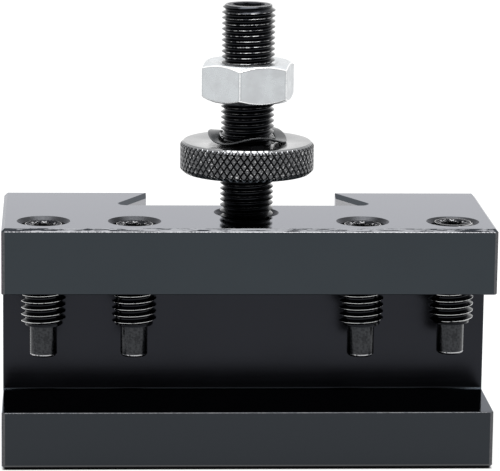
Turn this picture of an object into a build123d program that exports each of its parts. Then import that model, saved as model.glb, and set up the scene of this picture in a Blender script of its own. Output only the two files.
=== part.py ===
"""Tool holder of a quick change tool post, with its clamp screws and its height stop.

Frame: the origin is the centre of the bottom face, +X runs along the tool slot, -Y is the
slot side, +Y is the dovetail side and +Z is up. All sizes are in millimetres.
"""

import os
from math import cos, pi, radians, sin, sqrt, tan

from build123d import *

# Holder block
holder_length = 110.0
holder_depth = 44.0
holder_height = 54.8
edge_bevel = 0.75

# Tool slot, open to the front and to both ends
ledge_thickness = 13.1
slot_height = 26.85
slot_depth = 21.8
slot_corner_radius = 0.4
slot_edge_break = 0.15

# Dovetail, open to the back and to both faces
dovetail_floor_y = 6.8
dovetail_flank_angle = 28.0
dovetail_floor_half_width = 28.75
dovetail_mouth_half_width = 22.1
dovetail_corner_radius = 1.2
dovetail_rim_bevel = 0.95

# Clamp screws, M10 x 1.5 with a dog point
clamp_screw_x = (-45.75, -25.5, 25.5, 45.75)
clamp_screw_tip_z = (24.2, 24.2, 24.2, 24.75)
clamp_socket_corner_angle = (0.0, 20.0, 10.0, 40.0)
clamp_screw_y = -12.9
clamp_screw_radius = 5.0
clamp_screw_pitch = 1.5
clamp_screw_length = 30.0
dog_radius = 3.05
dog_length = 7.0
dog_tip_bevel = 0.4
dog_shoulder_height = 0.3
clamp_socket_width = 5.0
clamp_socket_depth = 5.0
clamp_socket_mouth_radius = 3.3
clamp_socket_mouth_depth = 0.4
clamp_hole_mouth_radius = 5.95

# Height stud, M12 x 1.25, screwed into the block
stud_y = -2.5
stud_radius = 6.0
stud_pitch = 1.25
stud_length = 60.0
stud_top_z = 102.2
stud_socket_width = 6.0
stud_socket_depth = 7.0
stud_socket_corner_angle = 36.0
stud_hole_mouth_radius = 7.35

# Knurled stop nut
stop_nut_radius = 15.1
stop_nut_thickness = 7.0
stop_nut_bottom_z = 64.3
stop_nut_bevel = 0.8
stop_nut_mouth_radius = 7.2

# Wave washer, three waves, standing on the stop nut
washer_outer_radius = 8.9
washer_inner_radius = 6.25
washer_thickness = 0.4
washer_wave_height = 1.7
washer_wave_count = 3
washer_crest_angle = 45.0

# Hexagon lock nut
lock_nut_width = 19.25
lock_nut_thickness = 8.6
lock_nut_bottom_z = 80.75
lock_nut_corner_angle = 17.3
lock_nut_face_radius = 9.3
lock_nut_mouth_radius = 6.8

# Threads are rows of plain ridges, and the bores they run in are plain
thread_clearance = 0.06
thread_depth_per_pitch = 0.6134
crest_width_per_pitch = 0.125
root_width_per_pitch = 0.25

# Worked out from the sizes above
slot_back_y = slot_depth - holder_depth / 2
slot_roof_z = ledge_thickness + slot_height
stop_nut_top_z = stop_nut_bottom_z + stop_nut_thickness


def revolved(outline):
    """Turn a closed outline of (radius, z) points once round the Z axis."""
    corners = [(radius, 0, z) for radius, z in outline]
    return revolve(make_face(Polyline(*corners, close=True)), Axis.Z)


def ridges(radius, pitch, z_low, z_high):
    """Outline points (radius, z), going up, of the ridges that stand for a thread."""
    root_radius = radius - thread_depth_per_pitch * pitch
    half_crest = crest_width_per_pitch * pitch / 2
    half_gap = pitch / 2 - root_width_per_pitch * pitch / 2
    points = []
    for turn in range(int((z_high - z_low) / pitch)):
        middle = z_low + (turn + 0.5) * pitch
        points += [(root_radius, middle - half_gap), (radius, middle - half_crest)]
        points += [(radius, middle + half_crest), (root_radius, middle + half_gap)]
    return points


def hexagon_prism(width_across_flats, height, z_low, corner_angle):
    """Upright hexagonal prism with a corner at an angle from +X."""
    half_width = width_across_flats / 2
    outline = RegularPolygon(half_width, 6, major_radius=False, rotation=corner_angle)
    return Pos(0, 0, z_low) * extrude(outline, height)


def socket_mouth(mouth_radius, inner_width, depth, top_z):
    """Shallow conical recess that leads into a hexagon socket."""
    outline = [(0, top_z - depth), (inner_width / 2, top_z - depth), (mouth_radius, top_z), (0, top_z)]
    return revolved(outline)


def tapped_hole(radius, mouth_radius, z_low, z_high, through=False):
    """Plain bore with a countersunk mouth at its top, and at its bottom too if it is through."""
    mouth_depth = mouth_radius - radius
    outline = [(0, z_low), (radius, z_low)]
    if through:
        lower_mouth = mouth_depth / 2
        outline = [(0, z_low), (radius + lower_mouth, z_low), (radius, z_low + lower_mouth)]
    outline += [(radius, z_high - mouth_depth), (mouth_radius, z_high), (0, z_high)]
    return revolved(outline)


def dovetail_half_width(y):
    """Half the distance between the flanks at a place along Y."""
    return dovetail_floor_half_width - (y - dovetail_floor_y) * tan(radians(dovetail_flank_angle))


def tool_slot():
    """Shape of the slot's space: a channel along X with rounded inner corners and a flared mouth."""
    front_y = -holder_depth / 2
    flare_y = front_y + slot_edge_break
    outside_y = front_y - slot_depth
    flare_low_z = ledge_thickness - slot_edge_break
    flare_high_z = slot_roof_z + slot_edge_break
    corners = [
        (slot_back_y, ledge_thickness), (flare_y, ledge_thickness),
        (front_y, flare_low_z), (outside_y, flare_low_z),
        (outside_y, flare_high_z), (front_y, flare_high_z),
        (flare_y, slot_roof_z), (slot_back_y, slot_roof_z),
    ]
    outline = make_face(Polyline(*corners, close=True))
    inner_corners = outline.vertices().sort_by(Axis.X)[-2:]
    outline = fillet(inner_corners, slot_corner_radius)
    return extrude(Plane.YZ * outline, holder_length, both=True)


def holder_body():
    """C-shaped block with the dovetail in its back, four screw holes and the stud hole."""
    body = Pos(0, 0, holder_height / 2) * Box(holder_length, holder_depth, holder_height)
    body = chamfer(body.edges(), edge_bevel)

    behind = holder_depth
    corners = [
        (-dovetail_half_width(behind), behind),
        (-dovetail_floor_half_width, dovetail_floor_y),
        (dovetail_floor_half_width, dovetail_floor_y),
        (dovetail_half_width(behind), behind),
    ]
    outline = make_face(Polyline(*corners, close=True))
    inner_corners = outline.vertices().sort_by(Axis.Y)[:2]
    outline = fillet(inner_corners, dovetail_corner_radius)
    body -= extrude(outline, holder_height)
    for z in (0, holder_height):
        rim = body.edges().filter_by_position(Axis.Z, z, z)
        rim = rim.filter_by_position(Axis.Y, dovetail_floor_y - 0.01, holder_depth)
        rim = [edge for edge in rim if abs(edge.center().X) < dovetail_floor_half_width + 0.1
               and edge.center().Y < holder_depth / 2 - edge_bevel]
        body = chamfer(rim, dovetail_rim_bevel)

    mouth_depth = behind - dovetail_floor_y
    mouth = Box(2 * dovetail_mouth_half_width, mouth_depth, 2 * holder_height)
    body -= Pos(0, dovetail_floor_y + mouth_depth / 2, holder_height / 2) * mouth

    body -= tool_slot()
    for x in (-holder_length / 2, holder_length / 2):
        rim = body.edges().filter_by_position(Axis.X, x, x)
        rim = rim.filter_by_position(Axis.Y, -holder_depth / 2, slot_back_y)
        rim = rim.filter_by_position(Axis.Z, ledge_thickness, slot_roof_z)
        body = chamfer(rim, slot_edge_break)

    screw_bore = clamp_screw_radius + thread_clearance
    for x in clamp_screw_x:
        hole = tapped_hole(screw_bore, clamp_hole_mouth_radius, slot_roof_z, holder_height, True)
        body -= Pos(x, clamp_screw_y, 0) * hole
    stud_bottom_z = stud_top_z - stud_length
    stud_bore = stud_radius + thread_clearance
    hole = tapped_hole(stud_bore, stud_hole_mouth_radius, stud_bottom_z, holder_height)
    return body - Pos(0, stud_y, 0) * hole


def clamp_screw(x, tip_z, socket_corner_angle):
    """Dog point set screw with a hexagon socket in its upper end."""
    top_z = tip_z + clamp_screw_length
    root_radius = clamp_screw_radius - thread_depth_per_pitch * clamp_screw_pitch
    thread_low_z = tip_z + dog_length + dog_shoulder_height
    thread_high_z = top_z - (clamp_screw_radius - root_radius)
    outline = [(0, tip_z), (dog_radius - dog_tip_bevel, tip_z), (dog_radius, tip_z + dog_tip_bevel)]
    outline += [(dog_radius, tip_z + dog_length), (root_radius, thread_low_z)]
    outline += ridges(clamp_screw_radius, clamp_screw_pitch, thread_low_z, thread_high_z)
    outline += [(root_radius, top_z), (0, top_z)]
    screw = revolved(outline)
    socket_z = top_z - clamp_socket_depth
    screw -= hexagon_prism(clamp_socket_width, clamp_socket_depth, socket_z, socket_corner_angle)
    screw -= socket_mouth(
        clamp_socket_mouth_radius, clamp_socket_width, clamp_socket_mouth_depth, top_z
    )
    return Pos(x, clamp_screw_y, 0) * screw


def height_stud():
    """Fully threaded stud with a hexagon socket in the top."""
    bottom_z = stud_top_z - stud_length
    root_radius = stud_radius - thread_depth_per_pitch * stud_pitch
    outline = [(0, bottom_z), (root_radius, bottom_z)]
    outline += ridges(stud_radius, stud_pitch, bottom_z, stud_top_z)
    outline += [(root_radius, stud_top_z), (0, stud_top_z)]
    socket_z = stud_top_z - stud_socket_depth
    socket = hexagon_prism(stud_socket_width, stud_socket_depth, socket_z, stud_socket_corner_angle)
    return Pos(0, stud_y, 0) * (revolved(outline) - socket)


def knurled_stop_nut():
    """Round thumb nut that hangs the holder on top of the tool post."""
    low, high = stop_nut_bottom_z, stop_nut_top_z
    bore = stud_radius + thread_clearance
    mouth_depth = stop_nut_mouth_radius - bore
    outline = [
        (stop_nut_mouth_radius, low), (stop_nut_radius - stop_nut_bevel, low),
        (stop_nut_radius, low + stop_nut_bevel), (stop_nut_radius, high - stop_nut_bevel),
        (stop_nut_radius - stop_nut_bevel, high), (stop_nut_mouth_radius, high),
        (bore, high - mouth_depth), (bore, low + mouth_depth),
    ]
    return Pos(0, stud_y, 0) * revolved(outline)


def wave_washer():
    """Thin ring bent into equal waves, standing on the stop nut on its troughs."""
    def edge(radius, lift, first, last):
        """Wavy line along part of the ring, from one angle to another."""
        points = []
        for angle in range(first, last + 1, 10):
            phase = washer_wave_count * radians(angle - washer_crest_angle)
            z = stop_nut_top_z + lift + washer_wave_height * (1 + cos(phase)) / 2
            points.append((radius * cos(radians(angle)), radius * sin(radians(angle)), z))
        return Spline(*points)

    faces = []
    for first in range(0, 360, 120):
        inner_low, inner_high, outer_low, outer_high = [
            edge(radius, lift, first, first + 120)
            for radius in (washer_inner_radius, washer_outer_radius)
            for lift in (0, washer_thickness)
        ]
        pairs = ((inner_low, outer_low), (inner_high, outer_high),
                 (inner_low, inner_high), (outer_low, outer_high))
        faces += [Face.make_surface_from_curves(one, other) for one, other in pairs]
    return Pos(0, stud_y, 0) * Solid(Shell(faces))


def hex_lock_nut():
    """Hexagon nut with both faces bevelled, which locks the stop nut through the washer."""
    low, high = lock_nut_bottom_z, lock_nut_bottom_z + lock_nut_thickness
    corner_radius = lock_nut_width / sqrt(3) + 1
    slope = (corner_radius - lock_nut_face_radius) * tan(pi / 6)
    turned = [
        (0, low), (lock_nut_face_radius, low), (corner_radius, low + slope),
        (corner_radius, high - slope), (lock_nut_face_radius, high), (0, high),
    ]
    nut = hexagon_prism(lock_nut_width, lock_nut_thickness, low, lock_nut_corner_angle)
    nut &= revolved(turned)
    bore = stud_radius + thread_clearance
    mouth_depth = lock_nut_mouth_radius - bore
    hole = [
        (0, low), (lock_nut_mouth_radius, low), (bore, low + mouth_depth),
        (bore, high - mouth_depth), (lock_nut_mouth_radius, high), (0, high),
    ]
    return Pos(0, stud_y, 0) * (nut - revolved(hole))


def write(node, shape):
    """Write one piece to its own STEP file."""
    export_step(shape, os.path.join("parts", node + ".step"))


os.makedirs("parts", exist_ok=True)
write("holder_body", holder_body())
clamp_screws = zip(clamp_screw_x, clamp_screw_tip_z, clamp_socket_corner_angle)
for number, (x, tip_z, socket_corner_angle) in enumerate(clamp_screws, start=1):
    write(f"clamp_screw_{number}", clamp_screw(x, tip_z, socket_corner_angle))
write("height_stud", height_stud())
write("knurled_stop_nut", knurled_stop_nut())
write("wave_washer", wave_washer())
write("hex_lock_nut", hex_lock_nut())
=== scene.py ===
"""Looks of the dovetailed tool holder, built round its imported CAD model, in metres."""

from math import ceil, cos, pi, radians, sin, sqrt, tan

import bmesh
import bpy
import numpy as np
from mathutils import Matrix, Vector


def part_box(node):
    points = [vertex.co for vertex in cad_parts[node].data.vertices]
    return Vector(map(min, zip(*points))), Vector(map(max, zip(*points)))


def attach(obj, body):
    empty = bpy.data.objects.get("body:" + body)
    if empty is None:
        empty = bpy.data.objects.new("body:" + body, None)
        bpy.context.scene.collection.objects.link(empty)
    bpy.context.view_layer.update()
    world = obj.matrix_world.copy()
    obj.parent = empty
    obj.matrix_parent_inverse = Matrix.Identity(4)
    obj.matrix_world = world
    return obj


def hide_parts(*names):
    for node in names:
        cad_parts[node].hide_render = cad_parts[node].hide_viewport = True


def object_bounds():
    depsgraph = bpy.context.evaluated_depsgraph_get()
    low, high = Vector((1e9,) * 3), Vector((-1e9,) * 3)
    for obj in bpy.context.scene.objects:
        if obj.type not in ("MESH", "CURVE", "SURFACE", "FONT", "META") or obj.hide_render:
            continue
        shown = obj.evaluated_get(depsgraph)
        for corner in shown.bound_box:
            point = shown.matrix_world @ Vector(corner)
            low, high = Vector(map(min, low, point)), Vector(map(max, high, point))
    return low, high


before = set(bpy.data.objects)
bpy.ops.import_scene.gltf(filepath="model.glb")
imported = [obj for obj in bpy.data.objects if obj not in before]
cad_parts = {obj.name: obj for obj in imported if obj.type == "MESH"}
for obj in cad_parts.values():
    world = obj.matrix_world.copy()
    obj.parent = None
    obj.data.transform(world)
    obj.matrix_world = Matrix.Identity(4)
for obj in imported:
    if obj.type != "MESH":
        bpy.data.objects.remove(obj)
cad_low, cad_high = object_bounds()

MM = 0.001
CROWDED = 1e-7  # points closer than this are one point
CREASE = radians(33)  # faces that meet at more than this have a sharp edge

# Threads: how far along a pitch each outline point lies, and how deep, as a share of the depth
THREAD_OUTLINE = (
    (0.0, 0.0), (0.05, 0.0), (0.09, 0.06), (0.41, 0.93),
    (0.46, 1.0), (0.59, 1.0), (0.64, 0.93), (0.96, 0.06),
)
THREAD_DEPTH_PER_PITCH = 0.6134
ROUND_STEPS = 96  # points round each screw, a multiple of 6 so that sockets keep their corners

# Clamp screws
CLAMP_SOCKET_CORNERS = (0.0, 20.0, 10.0, 40.0)
CLAMP_PITCH = 1.5 * MM
CLAMP_THREAD_TURNS = (0.08, 0.08, 0.08, 0.02)
CLAMP_END_RADIUS = 4.25 * MM
CLAMP_START_RADIUS = 4.1 * MM
DOG_RADIUS = 3.05 * MM
DOG_LENGTH = 7.0 * MM
DOG_BEVEL = 0.4 * MM
DOG_SHOULDER = 0.15 * MM
CLAMP_SOCKET_WIDTH = 5.0 * MM
CLAMP_SOCKET_DEPTH = 5.0 * MM
CLAMP_MOUTH_RADIUS = 3.3 * MM
CLAMP_MOUTH_DEPTH = 0.4 * MM

# Height stud
STUD_SOCKET_CORNER = 36.0
STUD_THREAD_TURN = 0.12
STUD_PITCH = 1.25 * MM
STUD_END_RADIUS = 5.2 * MM
STUD_SOCKET_WIDTH = 6.0 * MM
STUD_SOCKET_DEPTH = 7.0 * MM
STUD_MOUTH_RADIUS = 3.62 * MM
STUD_MOUTH_DEPTH = 0.3 * MM

# Nuts on the stud
NUT_BORE_RADIUS = 6.06 * MM
KNURL_TEETH = 62
KNURL_ANGLE = 35.0  # of the knurl's lines, from the nut's axis
KNURL_DEPTH = 0.30 * MM
KNURL_CROWN = 0.08 * MM
KNURL_DIVISIONS = 12  # mesh steps from one groove to the next
KNURL_LAND = 2  # of those steps, how many it takes to climb out of a groove
KNURL_RUN_OUT = 0.9 * MM  # the grooves get shallower this close to the faces
STOP_NUT_BEVEL = 0.8 * MM
STOP_NUT_MOUTH_RADIUS = 7.2 * MM
LOCK_NUT_WIDTH = 19.25 * MM
LOCK_NUT_CORNER = 17.3
LOCK_NUT_FACE_RADIUS = 9.3 * MM
LOCK_NUT_BEVEL = radians(30)  # between the bevel and the face
LOCK_NUT_MOUTH_RADIUS = 6.8 * MM

# Wave washer
WASHER_THICKNESS = 0.4 * MM
WASHER_INNER_RADIUS = 6.25 * MM
WASHER_WAVES = 3
WASHER_CREST = 45.0


class Shell:
    """One closed surface round an upright axis, made of rings of points."""

    def __init__(self, steps, first_angle=0.0):
        self.steps = steps
        self.angles = radians(first_angle) + 2 * pi * np.arange(steps) / steps
        self.points = []
        self.faces = []
        self.count = 0

    def ring(self, radius, z):
        """Adds a ring, whose radius and z may each be one number or one for each angle."""
        x = radius * np.cos(self.angles)
        y = radius * np.sin(self.angles)
        self.points.append(np.stack([x, y, z + 0 * x], axis=1))
        self.count += self.steps
        return np.arange(self.count - self.steps, self.count)

    def strip(self, lower, upper):
        """Joins two rows of point numbers with four-sided faces."""
        self.faces += np.stack([lower[:-1], lower[1:], upper[1:], upper[:-1]], axis=1).tolist()

    def bridge(self, lower, upper):
        """Joins two whole rings."""
        self.strip(np.append(lower, lower[0]), np.append(upper, upper[0]))

    def turn(self, outline):
        """Adds a ring for each (radius, z) point of an outline, and joins them in that order."""
        rings = [self.ring(radius, z) for radius, z in outline]
        for lower, upper in zip(rings, rings[1:]):
            self.bridge(lower, upper)

    def thread(self, radius, pitch, low, high, low_radius, high_radius, turn):
        """Adds a right-hand thread between two end rings, each with a 45 degree bevel."""
        per_turn = len(THREAD_OUTLINE)
        turns = ceil((high - low) / pitch) + 3
        along, cut = np.array(THREAD_OUTLINE).T
        starts = (np.arange(turns)[:, None] - 2 + turn + along).ravel()
        depths = np.tile(cut, turns) * THREAD_DEPTH_PER_PITCH * pitch
        rows = []
        for start, depth in zip(starts, depths):
            z = np.clip(low + pitch * (start + np.arange(self.steps) / self.steps), low, high)
            bevels = np.minimum(low_radius + z - low, high_radius + high - z)
            rows.append(self.ring(np.minimum(radius - depth, bevels), z))
        for lower, upper in zip(rows, rows[1:]):
            self.strip(lower, upper)
        ends = [row[-1] for row in rows]
        begins = [row[0] for row in rows[per_turn:]]
        for this, after, near, far in zip(ends, ends[1:], begins, begins[1:]):
            self.faces.append([this, near, far, after])

    def piece(self, name, place, material):
        """Makes the Blender object, with its axis and z = 0 at a place."""
        mesh = bpy.data.meshes.new(name)
        mesh.from_pydata(np.concatenate(self.points).tolist(), [], self.faces)
        tidy = bmesh.new()
        tidy.from_mesh(mesh)
        bmesh.ops.remove_doubles(tidy, verts=tidy.verts, dist=CROWDED)
        bmesh.ops.recalc_face_normals(tidy, faces=tidy.faces)
        tidy.to_mesh(mesh)
        tidy.free()
        mesh.shade_smooth()
        mesh.set_sharp_from_angle(angle=CREASE)
        mesh.materials.append(material)
        made = bpy.data.objects.new(name, mesh)
        made.location = place
        bpy.context.scene.collection.objects.link(made)
        return made


def foot_of(node):
    """Where a node's axis meets its lowest plane, its radius along X, and its height."""
    low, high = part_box(node)
    middle = (low + high) / 2
    return Vector((middle.x, middle.y, low.z)), (high.x - low.x) / 2, high.z - low.z


def smooth_min(a, b, blend):
    """The lesser of two lengths, rounded where they cross."""
    share = np.clip(0.5 + 0.5 * (b - a) / blend, 0, 1)
    return b + (a - b) * share - blend * share * (1 - share)


def hexagon(shell, width, corner_power=None):
    """Radius of a hexagon at each angle, with a corner at the first one, sharp or rounded."""
    normals = shell.angles[0] + radians(30) + radians(60) * np.arange(6)
    toward = np.maximum(np.cos(shell.angles[:, None] - normals), 0)
    if corner_power is None:
        return width / 2 / toward.max(axis=1)
    return width / 2 / (toward**corner_power).sum(axis=1) ** (1 / corner_power)


def socket(shell, width, depth, mouth_radius, mouth_depth, top, rim_radius):
    """Adds a hexagon socket with a conical mouth, from the rim of the end face inwards."""
    hexagonal = hexagon(shell, width)
    slope = mouth_depth / (mouth_radius - width / 2)
    edge = top - (mouth_radius - hexagonal) * slope
    lip = 0.04 * MM
    floor = top - depth
    shell.turn([
        (rim_radius, top),
        (mouth_radius + lip, top),
        (mouth_radius, top - lip),
        (hexagonal, edge),
        (hexagonal, floor),
        (width / 2, floor),
        (0, floor - width / 5),
    ])


def clamp_screw(name, corner, thread_turn, material):
    """Dog point set screw with a hexagon socket in its top."""
    foot, radius, height = foot_of(name)
    shell = Shell(ROUND_STEPS, corner)
    lip = 0.06 * MM
    shell.turn([
        (0, 0),
        (DOG_RADIUS - DOG_BEVEL - lip, 0),
        (DOG_RADIUS - DOG_BEVEL, lip / 3),
        (DOG_RADIUS - lip / 3, DOG_BEVEL),
        (DOG_RADIUS, DOG_BEVEL + lip),
        (DOG_RADIUS, DOG_LENGTH - lip / 3),
        (DOG_RADIUS + lip / 3, DOG_LENGTH),
        (CLAMP_START_RADIUS - lip, DOG_LENGTH + DOG_SHOULDER),
    ])
    shell.thread(
        radius, CLAMP_PITCH, DOG_LENGTH + DOG_SHOULDER, height,
        CLAMP_START_RADIUS, CLAMP_END_RADIUS, thread_turn,
    )
    socket(
        shell, CLAMP_SOCKET_WIDTH, CLAMP_SOCKET_DEPTH, CLAMP_MOUTH_RADIUS, CLAMP_MOUTH_DEPTH,
        height, CLAMP_END_RADIUS,
    )
    return shell.piece(name + "_turned", foot, material)


def height_stud(material):
    """Stud with a thread all along and a hexagon socket in its top."""
    foot, radius, height = foot_of("height_stud")
    shell = Shell(ROUND_STEPS, STUD_SOCKET_CORNER)
    shell.turn([(0, 0), (STUD_END_RADIUS, 0)])
    shell.thread(radius, STUD_PITCH, 0, height, STUD_END_RADIUS, STUD_END_RADIUS, STUD_THREAD_TURN)
    socket(
        shell, STUD_SOCKET_WIDTH, STUD_SOCKET_DEPTH, STUD_MOUTH_RADIUS, STUD_MOUTH_DEPTH,
        height, STUD_END_RADIUS,
    )
    return shell.piece("height_stud_threaded", foot, material)


def knurled_nut(material):
    """Round nut whose rim is cut by two families of slanting grooves."""
    foot, radius, height = foot_of("knurled_stop_nut")
    shell = Shell(KNURL_TEETH * KNURL_DIVISIONS)
    step = 2 * pi * radius / shell.steps / tan(radians(KNURL_ANGLE))
    reach = int(height / 2 / step)
    levels = np.arange(-reach, reach + 1)
    columns = np.arange(shell.steps)

    def groove(number):
        """Depth of one family of grooves, where number counts mesh steps across it."""
        half = KNURL_DIVISIONS / 2
        away = np.abs((number + half) % KNURL_DIVISIONS - half)
        sunk = KNURL_DEPTH * np.clip(1 - away / KNURL_LAND, 0, 1)
        return sunk + KNURL_CROWN * (1 - away / half) ** 2 * (away >= KNURL_LAND)

    rows = []
    face_radius = radius - STOP_NUT_BEVEL
    for level in levels:
        depth = np.maximum(groove(columns + level), groove(columns - level))
        to_face = height / 2 - abs(level) * step
        cut = depth * min(to_face / KNURL_RUN_OUT, 1)
        rows.append(shell.ring(min(radius, face_radius + to_face) - cut, height / 2 + level * step))
    for level, lower, upper in zip(levels, rows, rows[1:]):
        for a in range(shell.steps):
            b = (a + 1) % shell.steps
            corners = [lower[a], lower[b], upper[b], upper[a]]
            first = (a + level) % 2  # the face is split along whichever groove could cross it
            corners = corners[first:] + corners[:first]
            shell.faces += [corners[:3], [corners[2], corners[3], corners[0]]]
    lip = 0.08 * MM
    mouth = STOP_NUT_MOUTH_RADIUS
    bore = NUT_BORE_RADIUS
    shell.bridge(shell.ring(face_radius, 0), rows[0])
    shell.bridge(rows[-1], shell.ring(face_radius, height))
    shell.turn([
        (face_radius, height),
        (face_radius - lip, height),
        (mouth + lip, height),
        (mouth, height - lip / 2),
        (bore, height - mouth + bore),
        (bore, mouth - bore),
        (mouth, lip / 2),
        (mouth + lip, 0),
        (face_radius - lip, 0),
        (face_radius, 0),
    ])
    return shell.piece("stop_nut_knurled", foot, material)


def wave_washer(material):
    """Thin ring with rounded edges, bent into equal waves."""
    foot, radius, height = foot_of("wave_washer")
    shell = Shell(180)
    swing = height - WASHER_THICKNESS
    wave = swing * (1 + np.cos(WASHER_WAVES * (shell.angles - radians(WASHER_CREST)))) / 2
    edge = WASHER_THICKNESS / 2
    outline = []
    for middle, start in ((radius - edge, -90), (WASHER_INNER_RADIUS + edge, 90)):
        for turn in range(start, start + 181, 30):
            at = radians(turn)
            outline.append((middle + edge * cos(at), wave + edge + edge * sin(at)))
    shell.turn(outline + outline[:1])
    return shell.piece("wave_washer_bent", foot, material)


def lock_nut(material):
    """Hexagon nut, bevelled on both faces, with its corners and edges softened."""
    foot, _, height = foot_of("hex_lock_nut")
    shell = Shell(288, LOCK_NUT_CORNER)
    sides = hexagon(shell, LOCK_NUT_WIDTH, corner_power=110)
    bevelled = 1.9 * MM
    from_face = np.linspace(0, bevelled, 20)
    between = np.linspace(bevelled, height - bevelled, 6)[1:-1]
    levels = [*from_face, *between, *(height - from_face[::-1])]
    outline = []
    for z in levels:
        cone = LOCK_NUT_FACE_RADIUS + min(z, height - z) / tan(LOCK_NUT_BEVEL)
        outline.append((smooth_min(sides, cone + 0 * sides, 0.3 * MM), z))
    lip = 0.1 * MM
    face = LOCK_NUT_FACE_RADIUS - lip
    mouth = LOCK_NUT_MOUTH_RADIUS
    bore = NUT_BORE_RADIUS
    outline += [
        (face, height),
        (mouth + lip, height),
        (mouth, height - lip / 2),
        (bore, height - mouth + bore),
        (bore, mouth - bore),
        (mouth, lip / 2),
        (mouth + lip, 0),
        (face, 0),
    ]
    shell.turn(outline + outline[:1])
    return shell.piece("lock_nut_plated", foot, material)


class Paint:
    """A material, with short ways to add nodes to it. Its patterns are in millimetres."""

    def __init__(self, name):
        self.material = bpy.data.materials.new(name)
        self.material.use_nodes = True
        self.nodes = self.material.node_tree.nodes
        self.links = self.material.node_tree.links
        self.shader = self.nodes["Principled BSDF"]
        place = self.add("ShaderNodeTexCoord").outputs["Object"]
        self.place = self.stretched(place, (1 / MM, 1 / MM, 1 / MM))

    def add(self, kind, inputs=None, **settings):
        """Adds a node, sets it up, and links or sets its inputs."""
        node = self.nodes.new(kind)
        for name, value in settings.items():
            setattr(node, name, value)
        for key, value in (inputs or {}).items():
            self.feed(node.inputs[key], value)
        return node

    def feed(self, target, value):
        """Links an output to an input, or sets the input to a number or colour."""
        if isinstance(value, bpy.types.NodeSocket):
            self.links.new(value, target)
        else:
            target.default_value = value

    def set(self, **values):
        """Feeds the shader, with underscores for the spaces in its names."""
        for name, value in values.items():
            self.feed(self.shader.inputs[name.replace("_", " ")], value)

    def stretched(self, vector, scale):
        """A place, with each of its axes multiplied."""
        return self.add("ShaderNodeMapping", {"Vector": vector, "Scale": scale}).outputs["Vector"]

    def axes(self, vector):
        """The x, y and z of a vector."""
        return self.add("ShaderNodeSeparateXYZ", {"Vector": vector}).outputs[:]

    def math(self, kind, a, b=0.0):
        """One step of arithmetic."""
        return self.add("ShaderNodeMath", {0: a, 1: b}, operation=kind).outputs["Value"]

    def product(self, *values):
        """All the values multiplied together."""
        total = values[0]
        for value in values[1:]:
            total = self.math("MULTIPLY", total, value)
        return total

    def length(self, a, b):
        """How long the vector (a, b) is."""
        made = self.math("ADD", self.math("MULTIPLY", a, a), self.math("MULTIPLY", b, b))
        return self.math("SQRT", made)

    def noise(self, vector, per_mm, detail=2.0, rough=0.5):
        """Noise from 0 to 1, with so many lumps in a millimetre."""
        inputs = {"Vector": vector, "Scale": per_mm, "Detail": detail, "Roughness": rough}
        return self.add("ShaderNodeTexNoise", inputs).outputs["Fac"]

    def span(self, value, start, end, low=0.0, high=1.0):
        """Goes smoothly from low to high as a value goes from start to end."""
        inputs = {0: value, 1: start, 2: end, 3: low, 4: high}
        made = self.add("ShaderNodeMapRange", interpolation_type="SMOOTHSTEP")
        for number, entry in inputs.items():
            self.feed(made.inputs[number], entry)
        return made.outputs["Result"]

    def blend(self, share, one, other):
        """A colour between two."""
        made = self.add("ShaderNodeMix", data_type="RGBA")
        for name, value in (("Factor", share), ("A", one), ("B", other)):
            sockets = [s for s in made.inputs if s.name == name and s.enabled]
            self.feed(sockets[0], value)
        return [s for s in made.outputs if s.enabled][0]

    def between(self, share, one, other):
        """A number between two."""
        made = self.add("ShaderNodeMix", data_type="FLOAT")
        for name, value in (("Factor", share), ("A", one), ("B", other)):
            sockets = [s for s in made.inputs if s.name == name and s.enabled]
            self.feed(sockets[0], value)
        return [s for s in made.outputs if s.enabled][0]

    def bump(self, height, depth_mm, strength=1.0):
        """Raises the surface by a pattern."""
        inputs = {"Height": height, "Distance": depth_mm * MM, "Strength": strength}
        self.set(Normal=self.add("ShaderNodeBump", inputs).outputs["Normal"])


# Colours of metal, which are how much of the light it mirrors
GROUND = (0.0355, 0.0420, 0.0475, 1)
GROUND_WORN = (0.0335, 0.0395, 0.0450, 1)
GROUND_PAINTED_SHADE = (0.0290, 0.0325, 0.0370, 1)
MILLED = (0.0195, 0.0205, 0.0245, 1)
SCRATCHED = (0.005, 0.0055, 0.0065, 1)
RUBBED = (0.050, 0.051, 0.054, 1)
BEVEL_PAINTED_SHADE = (0.015, 0.015, 0.016, 1)
UPRIGHT_BLACK = (0.026, 0.028, 0.030, 1)
UPRIGHT_WORN = (0.11, 0.11, 0.115, 1)
EDGE_WEAR_AND_HIGHLIGHT = (0.085, 0.085, 0.087, 1)
EDGE_WEAR_AND_HIGHLIGHT_TOP = (0.15, 0.15, 0.155, 1)
EDGE_WEAR_AND_HIGHLIGHT_SHADED = (0.05, 0.05, 0.052, 1)
STEEL_HIGHLIGHT = (0.42, 0.42, 0.43, 1)
DOVETAIL_STEEL = (0.31, 0.31, 0.32, 1)
DEEP_BLACK = (0.011, 0.012, 0.014, 1)
SOOT = (0.021, 0.022, 0.025, 1)
FASTENER_GREY = (0.040, 0.042, 0.045, 1)
FASTENER_DARK = (0.022, 0.023, 0.025, 1)
CREST = (0.62, 0.62, 0.62, 1)
NUT_GREY = (0.205, 0.208, 0.213, 1)
NUT_GREY_DARK = (0.175, 0.178, 0.183, 1)
KNURL_GREY = (0.088, 0.090, 0.094, 1)
GROOVE = (0.050, 0.051, 0.054, 1)
GLINT = (0.55, 0.55, 0.55, 1)
SPRING = (0.055, 0.057, 0.06, 1)
SPRING_PALE = (0.10, 0.102, 0.105, 1)
ZINC = (0.535, 0.56, 0.575, 1)
ZINC_DULL = (0.50, 0.515, 0.53, 1)
ZINC_PAINTED_HIGHLIGHT = (0.90, 0.90, 0.90, 1)
ZINC_PAINTED_SHADE = (0.30, 0.31, 0.32, 1)

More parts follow.
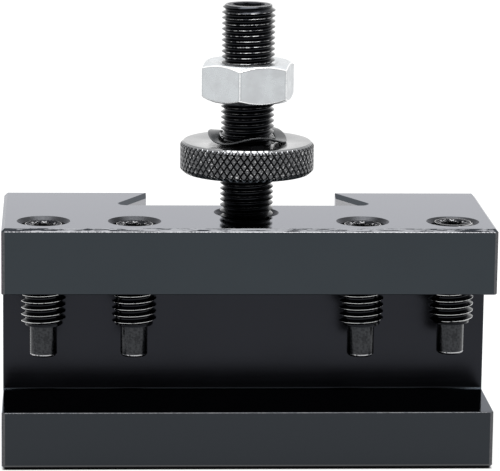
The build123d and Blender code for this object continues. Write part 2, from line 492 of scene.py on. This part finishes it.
# The same for light that skims a surface
GRAZED = (0.95, 0.955, 1.0, 1)
GRAZED_LEDGE = (0.66, 0.67, 0.70, 1)
GRAZED_DULL = (0.42, 0.42, 0.43, 1)
GRAZED_FULL = (1, 1, 1, 1)

TABLE = (0.24, 0.24, 0.24, 1)
TABLE_PALE = (0.26, 0.26, 0.26, 1)


def block_finish():
    """Ground steel with a black oxide skin, rubbed bright on the dovetail, with wear and painted
    highlights along the edges and painted shade low on the front.
    """
    paint = Paint("block_black_oxide")
    x, y, z = paint.axes(paint.place)
    normal = paint.add("ShaderNodeNewGeometry").outputs["Normal"]
    turned = paint.axes(normal)
    toward_x, toward_y, toward_z = [paint.math("ABSOLUTE", part) for part in turned]
    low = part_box("holder_body")[0] / MM

    cloud = paint.noise(paint.place, 0.06, 3)
    lines = paint.noise(paint.stretched(paint.place, (0.06, 2.6, 2.6)), 1.0, 3, 0.6)
    speck = paint.noise(paint.place, 2.5, 2)
    streak = paint.noise(paint.stretched(paint.place, (0.42, 2.4, 2.4)), 1.0, 4, 0.65)
    long_streak = paint.noise(paint.stretched(paint.place, (0.24, 3.4, 3.4)), 1.0, 4, 0.65)

    # Bevels: no one axis takes most of the normal
    flattest = paint.math("MAXIMUM", paint.math("MAXIMUM", toward_x, toward_y), toward_z)
    bevel = paint.span(flattest, 0.78, 0.74)
    level = paint.span(toward_z, 0.6, 0.68)
    front = paint.span(y, low.y + 1.0, low.y + 0.9)
    front_bevel = paint.product(bevel, front)
    front_top = paint.product(front_bevel, level, paint.span(z, 50, 51))
    upright = paint.product(front_bevel, paint.span(toward_z, 0.3, 0.2))
    # ledge_edge: the up- and down-facing front bevels below z 40 to 45, which get painted shade
    ledge_edge = paint.product(front_bevel, level, paint.span(z, 45, 40))
    border = paint.product(front_bevel, paint.span(y, low.y + 0.12, low.y + 0.06))
    lowest = paint.product(front, paint.span(z, 1.05, 0.95), paint.span(z, 0.6, 0.7))

    # Faces: the dovetail's flanks, the top of the ledge, and the back wall of the slot
    flank_turn = paint.math("MULTIPLY", turned[1], -1.0)
    flank = paint.product(paint.span(toward_x, 0.84, 0.87), paint.span(flank_turn, 0.40, 0.45))
    up = paint.span(toward_z, 0.9, 0.98)
    ledge = paint.product(up, paint.span(z, 20, 19))
    slot_wall = paint.product(
        paint.span(y, -0.9, -0.7), paint.span(y, 0.2, 0.1), paint.span(toward_y, 0.9, 0.98)
    )

    # Mouths of the tapped holes, the same on both sides of the middle
    across = paint.math("ABSOLUTE", x)
    mouth = 0.0
    for node, reach in (("clamp_screw_3", 5.95), ("clamp_screw_4", 5.95), ("height_stud", 7.35)):
        hole = foot_of(node)[0] / MM
        away_x = paint.math("SUBTRACT", across, hole.x)
        away_y = paint.math("SUBTRACT", y, hole.y)
        inside = paint.span(paint.length(away_x, away_y), reach + 0.05, reach - 0.05)
        mouth = paint.math("MAXIMUM", mouth, inside)
    mouth = paint.product(mouth, paint.span(z, 52.0, 52.5))

    colour = paint.blend(cloud, GROUND, GROUND_WORN)
    # Painted shade: the front is darker from z 20 down to z 13, on the ledge's front
    colour = paint.blend(paint.product(front, paint.span(z, 20, 13)), colour, GROUND_PAINTED_SHADE)
    colour = paint.blend(lowest, colour, EDGE_WEAR_AND_HIGHLIGHT)
    colour = paint.blend(slot_wall, colour, MILLED)
    more = paint.span(across, 36, 52, 0, 0.10)
    scratch = paint.span(paint.math("ADD", long_streak, more), 0.53, 0.56)
    scratch = paint.math("MAXIMUM", scratch, paint.span(x, -51.0, -53.5, 0, 0.8))
    colour = paint.blend(front_top, colour, paint.blend(scratch, RUBBED, SCRATCHED))
    wear = paint.span(streak, 0.3, 0.6, 0.3, 0.7)
    colour = paint.blend(upright, colour, paint.blend(wear, UPRIGHT_BLACK, UPRIGHT_WORN))
    # Painted shade on the lower front bevels, with darker nicks where the noise is high
    nick = paint.span(streak, 0.42, 0.56)
    colour = paint.blend(ledge_edge, colour, paint.blend(nick, BEVEL_PAINTED_SHADE, DEEP_BLACK))
    # Lines along the very front of the bevels: wear and painted highlight, brightest on the top
    # bevel and dimmest, as painted shade, on the lower bevels
    shown = paint.product(border, paint.span(speck, 0.4, 0.6, 0.3, 1.0))
    edge_wear_and_highlight = paint.blend(front_top, EDGE_WEAR_AND_HIGHLIGHT, EDGE_WEAR_AND_HIGHLIGHT_TOP)
    edge_wear_and_highlight = paint.blend(ledge_edge, edge_wear_and_highlight, EDGE_WEAR_AND_HIGHLIGHT_SHADED)
    colour = paint.blend(shown, colour, edge_wear_and_highlight)
    colour = paint.blend(flank, colour, DOVETAIL_STEEL)
    colour = paint.blend(mouth, colour, paint.blend(speck, SOOT, RUBBED))
    tint = paint.blend(ledge, GRAZED, GRAZED_LEDGE)
    paint.set(Base_Color=colour, Metallic=1.0, Specular_Tint=tint)

    rough = paint.between(up, 0.17, 0.075)
    for place, value in ((slot_wall, 0.22), (bevel, 0.2), (flank, 0.28), (mouth, 0.42)):
        rough = paint.between(place, rough, value)
    rough = paint.product(rough, paint.span(cloud, 0.3, 0.7, 0.9, 1.1))
    paint.set(Roughness=paint.math("ADD", rough, paint.span(lines, 0.35, 0.7, -0.005, 0.015)))
    relief = paint.math("ADD", lines, paint.math("MULTIPLY", speck, 0.5))
    paint.bump(relief, 0.0012)
    return paint.material


def thread_finish(
    name, node, mouth_radius, ring_radius, rubbed, dashes,
    dog_length=0.0, socket_colour=SOOT, end_ring_highlight=FASTENER_GREY,
):
    """Black oxide, rubbed to grey on the crests of the thread and on a dog point, with painted
    highlights round the ends and above the dog's bevel.

    The crests' wear spans rubbed (from z to z, least, most), broken up where noise is in dashes.
    """
    paint = Paint(name)
    _, radius, length = (part / MM for part in foot_of(node))
    x, y, z = paint.axes(paint.place)
    away = paint.length(x, y)
    speck = paint.noise(paint.place, 2.2, 3)
    patch = paint.noise(paint.place, 0.45, 3)
    dash = paint.noise(paint.stretched(paint.place, (1.0, 1.0, 0.4)), 0.9, 3, 0.6)
    crest = paint.span(away, radius - 0.06, radius - 0.01)
    worn = paint.product(crest, paint.span(z, *rubbed), paint.span(dash, *dashes))
    colour = paint.blend(patch, DEEP_BLACK, SOOT)
    colour = paint.blend(worn, colour, CREST)
    if dog_length:
        dog = paint.span(z, dog_length + 0.1, dog_length)
        mottled = paint.blend(paint.span(speck, 0.35, 0.65), FASTENER_DARK, FASTENER_GREY)
        colour = paint.blend(dog, colour, mottled)
        # Painted highlight: a bright steel band just above the dog's bevel, broken up by noise
        rim = paint.product(paint.span(z, 0.68, 0.6), paint.span(z, 0.3, 0.38))
        colour = paint.blend(paint.product(rim, paint.span(dash, 0.3, 0.5)), colour, STEEL_HIGHLIGHT)
    in_mouth = paint.span(away, mouth_radius + 0.02, mouth_radius - 0.05)
    inside = paint.product(in_mouth, paint.span(z, length - 1.0, length - 0.6))
    glinting = paint.blend(paint.span(speck, 0.52, 0.62), SOOT, socket_colour)
    colour = paint.blend(inside, colour, glinting)
    # Painted highlight: a lighter ring where the end face meets its bevel, in the ring colour
    top = paint.span(z, length - 0.3, length - 0.2)
    inward = paint.span(away, ring_radius - 0.28, ring_radius - 0.34)
    outward = paint.math("SUBTRACT", 1.0, inward)
    ring = paint.product(top, outward, paint.span(away, ring_radius + 0.2, ring_radius + 0.1))
    colour = paint.blend(ring, colour, end_ring_highlight)
    rough = paint.span(speck, 0.3, 0.7, 0.14, 0.26)
    paint.set(
        Base_Color=colour,
        Metallic=1.0,
        Specular_Tint=paint.blend(paint.product(top, inward), GRAZED_FULL, GRAZED_DULL),
        Roughness=paint.between(inside, rough, 0.8),
    )
    paint.bump(speck, 0.006)
    return paint.material


def knurl_finish():
    """Black oxide rubbed to grey, with dark grooves and turning marks on the flat faces."""
    paint = Paint("knurl_black_oxide")
    x, y, _ = paint.axes(paint.place)
    away = paint.length(x, y)
    speck = paint.noise(paint.place, 1.6, 3)
    patch = paint.noise(paint.place, 0.25, 3)
    turned = paint.add("ShaderNodeCombineXYZ", {"X": away}).outputs["Vector"]
    rings = paint.noise(turned, 3.0, 3)
    radius = foot_of("knurled_stop_nut")[1] / MM
    rim = paint.span(away, radius - 0.45, radius - 0.38)
    groove = paint.product(rim, paint.span(away, radius - 0.09, radius - 0.18))
    grain = paint.noise(paint.place, 2.6, 1)
    outermost = paint.span(away, radius - 0.09, radius - 0.06)
    tip = paint.product(outermost, paint.span(grain, 0.62, 0.68))
    colour = paint.blend(patch, NUT_GREY, NUT_GREY_DARK)
    colour = paint.blend(rim, colour, KNURL_GREY)
    colour = paint.blend(groove, colour, GROOVE)
    colour = paint.blend(tip, colour, GLINT)
    paint.set(Base_Color=colour, Metallic=1.0, Roughness=paint.span(patch, 0.3, 0.7, 0.12, 0.2))
    paint.bump(paint.math("ADD", rings, paint.math("MULTIPLY", speck, 0.4)), 0.002)
    return paint.material


def spring_finish():
    """Dark tempered spring steel with faint blotches."""
    paint = Paint("spring_steel_dark")
    patch = paint.noise(paint.place, 0.5, 3)
    speck = paint.noise(paint.place, 3.0, 2)
    paint.set(
        Base_Color=paint.blend(patch, SPRING, SPRING_PALE),
        Metallic=1.0,
        Roughness=paint.span(speck, 0.3, 0.7, 0.16, 0.28),
    )
    paint.bump(speck, 0.003)
    return paint.material


def zinc_finish():
    """Bright zinc plate with a fine grain, with painted highlights along the corners and where the
    bevels meet the flats, and painted shade lines beside them.
    """
    paint = Paint("zinc_plate_bright")
    x, y, z = paint.axes(paint.place)
    away = paint.length(x, y)
    patch = paint.noise(paint.place, 0.35, 4)
    grain = paint.noise(paint.place, 4.0, 3)
    height = foot_of("hex_lock_nut")[2] / MM
    depth = paint.math("MINIMUM", z, paint.math("SUBTRACT", height, z))
    widening = paint.math("MULTIPLY", depth, 1 / tan(LOCK_NUT_BEVEL))
    cone = paint.math("ADD", widening, LOCK_NUT_FACE_RADIUS / MM)
    to_bevel = paint.math("SUBTRACT", cone, away)
    corner = LOCK_NUT_WIDTH / MM / sqrt(3)
    # Painted shade: dark lines beside the corners and just under the bevels, gathered in dark
    beside_corner = paint.product(
        paint.span(away, corner - 0.24, corner - 0.18),
        paint.span(away, corner - 0.11, corner - 0.15),
    )
    under_bevel = paint.product(paint.span(to_bevel, 0.6, 0.45), paint.span(to_bevel, 0.2, 0.35))
    dark = paint.math("MAXIMUM", beside_corner, under_bevel)
    normal = paint.add("ShaderNodeNewGeometry").outputs["Normal"]
    upward = paint.math("ABSOLUTE", paint.axes(normal)[2])
    # Painted highlights: where the bevels turn into the flats (turning) and at the corners, broken
    # up by grain (edge)
    turning = paint.product(paint.span(upward, 0.06, 0.2), paint.span(upward, 0.82, 0.7))
    at_corner = paint.span(away, corner - 0.12, corner - 0.09)
    edge = paint.product(at_corner, paint.span(grain, 0.38, 0.6, 0.2, 1.0))
    colour = paint.blend(paint.span(patch, 0.3, 0.7), ZINC, ZINC_DULL)
    colour = paint.blend(paint.math("MULTIPLY", dark, 0.4), colour, ZINC_PAINTED_SHADE)
    colour = paint.blend(paint.math("MAXIMUM", edge, turning), colour, ZINC_PAINTED_HIGHLIGHT)
    paint.set(Base_Color=colour, Metallic=1.0, Roughness=paint.span(patch, 0.3, 0.7, 0.24, 0.38))
    paint.bump(paint.math("ADD", grain, patch), 0.004)
    return paint.material


def floor_finish():
    """Pale table top that glows evenly, with a painted contact shadow where the block stands on it.
    """
    paint = Paint("table_white")
    x, y, _ = paint.axes(paint.place)
    cloud = paint.noise(paint.place, 0.004, 2)
    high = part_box("holder_body")[1] / MM
    bevel = 0.75
    past_x = paint.math("SUBTRACT", paint.math("ABSOLUTE", x), high.x - bevel)
    past_y = paint.math("SUBTRACT", paint.math("ABSOLUTE", y), high.y - bevel)
    # Painted contact shadow: the glow fades out over the block's footprint
    lit = paint.span(paint.math("MAXIMUM", past_x, past_y), 0.1, 1.0, 0, 0.72)
    paint.set(
        Base_Color=paint.blend(cloud, TABLE, TABLE_PALE),
        Roughness=0.9,
        Specular_IOR_Level=0.0,
        Emission_Color=(1, 1, 1, 1),
        Emission_Strength=lit,
    )
    return paint.material


def make_floor():
    """Plain floor under the holder."""
    reach = 6.0
    mesh = bpy.data.meshes.new("floor")
    corners = [(-reach, -reach, 0), (reach, -reach, 0), (reach, reach, 0), (-reach, reach, 0)]
    mesh.from_pydata(corners, [], [(0, 1, 2, 3)])
    mesh.materials.append(floor_finish())
    floor = bpy.data.objects.new("floor", mesh)
    floor.location.z = cad_low.z - 0.05 * MM
    bpy.context.scene.collection.objects.link(floor)


def make_light():
    """A white tent, brighter overhead and dark low in front, with one soft lamp above."""
    world = bpy.data.worlds.new("light_tent")
    bpy.context.scene.world = world
    world.use_nodes = True
    nodes, links = world.node_tree.nodes, world.node_tree.links
    place = nodes.new("ShaderNodeTexCoord")
    axes = nodes.new("ShaderNodeSeparateXYZ")
    links.new(place.outputs["Generated"], axes.inputs["Vector"])

    def share(axis, start, end, low, high):
        """Goes smoothly from low to high as one part of the direction goes from start to end."""
        made = nodes.new("ShaderNodeMapRange")
        made.interpolation_type = "SMOOTHSTEP"
        links.new(axes.outputs[axis], made.inputs["Value"])
        ends = {"From Min": start, "From Max": end, "To Min": low, "To Max": high}
        for name, value in ends.items():
            made.inputs[name].default_value = value
        return made.outputs["Result"]

    def times(one, other):
        """The product of two outputs."""
        made = nodes.new("ShaderNodeMath")
        made.operation = "MULTIPLY"
        links.new(one, made.inputs[0])
        links.new(other, made.inputs[1])
        return made.outputs["Value"]

    above_floor = share("Z", 0.06, 0.16, 0, 1)
    below_top = share("Z", 0.8, 0.6, 0, 1)
    dim = times(share("Y", -0.15, -0.6, 0, 1), times(above_floor, below_top))
    dimmed = nodes.new("ShaderNodeMapRange")
    links.new(dim, dimmed.inputs["Value"])
    dimmed.inputs["To Min"].default_value = 1.0
    dimmed.inputs["To Max"].default_value = 0.15
    strength = times(share("Z", 0, 1, 1.22, 1.5), dimmed.outputs["Result"])
    links.new(strength, nodes["Background"].inputs["Strength"])
    nodes["Background"].inputs["Color"].default_value = (1, 1, 1, 1)

    lamp = bpy.data.lights.new("overhead_lamp", "AREA")
    lamp.shape = "RECTANGLE"
    lamp.size, lamp.size_y = 0.62, 0.42
    radiance = 8.5
    lamp.energy = radiance * pi * lamp.size * lamp.size_y
    overhead = bpy.data.objects.new("overhead_lamp", lamp)
    overhead.location = (0, -0.08, 0.85)
    bpy.context.scene.collection.objects.link(overhead)


def make_camera():
    """Long lens, a little left of centre, looking slightly down on the slot side."""
    place = Vector((-42.49, -717.04, 193.11)) * MM
    yaw, pitch, roll = radians(3.477), radians(11.347), radians(0.75)
    data = bpy.data.cameras.new("camera")
    data.lens = 231.9
    camera = bpy.data.objects.new("camera", data)
    ahead = Vector((sin(yaw) * cos(pitch), cos(yaw) * cos(pitch), -sin(pitch)))
    right = Vector((cos(yaw), -sin(yaw), 0))
    upward = right.cross(ahead)
    across = right * cos(roll) + upward * sin(roll)
    upward = upward * cos(roll) - right * sin(roll)
    turn = Matrix((across, upward, -ahead)).transposed().to_4x4()
    camera.matrix_world = Matrix.Translation(place) @ turn
    bpy.context.scene.collection.objects.link(camera)
    bpy.context.scene.camera = camera


def stand_for(piece, node, body):
    """Puts a made piece in a CAD node's place."""
    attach(piece, body)
    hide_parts(node)


bpy.context.scene.view_settings.view_transform = "Standard"
make_camera()
make_light()
make_floor()

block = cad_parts["holder_body"]
block.data.materials.clear()
block.data.materials.append(block_finish())

clamp_material = thread_finish(
    "clamp_screw_black_oxide", "clamp_screw_1", mouth_radius=3.3, ring_radius=4.25,
    rubbed=(15, 25, 1, 0.5), dashes=(0.3, 0.45),
    dog_length=DOG_LENGTH / MM, socket_colour=STEEL_HIGHLIGHT, end_ring_highlight=STEEL_HIGHLIGHT,
)
for number, (corner, turn) in enumerate(zip(CLAMP_SOCKET_CORNERS, CLAMP_THREAD_TURNS), start=1):
    node = f"clamp_screw_{number}"
    screw = clamp_screw(node, corner, turn, clamp_material)
    stand_for(screw, node, node)
stud_material = thread_finish(
    "stud_black_oxide", "height_stud", mouth_radius=3.6, ring_radius=5.1,
    rubbed=(28, 50, 0.08, 0.65), dashes=(0.42, 0.66),
)
stand_for(height_stud(stud_material), "height_stud", "holder")
stand_for(knurled_nut(knurl_finish()), "knurled_stop_nut", "knurled_stop_nut")
stand_for(wave_washer(spring_finish()), "wave_washer", "wave_washer")
stand_for(lock_nut(zinc_finish()), "hex_lock_nut", "hex_lock_nut")
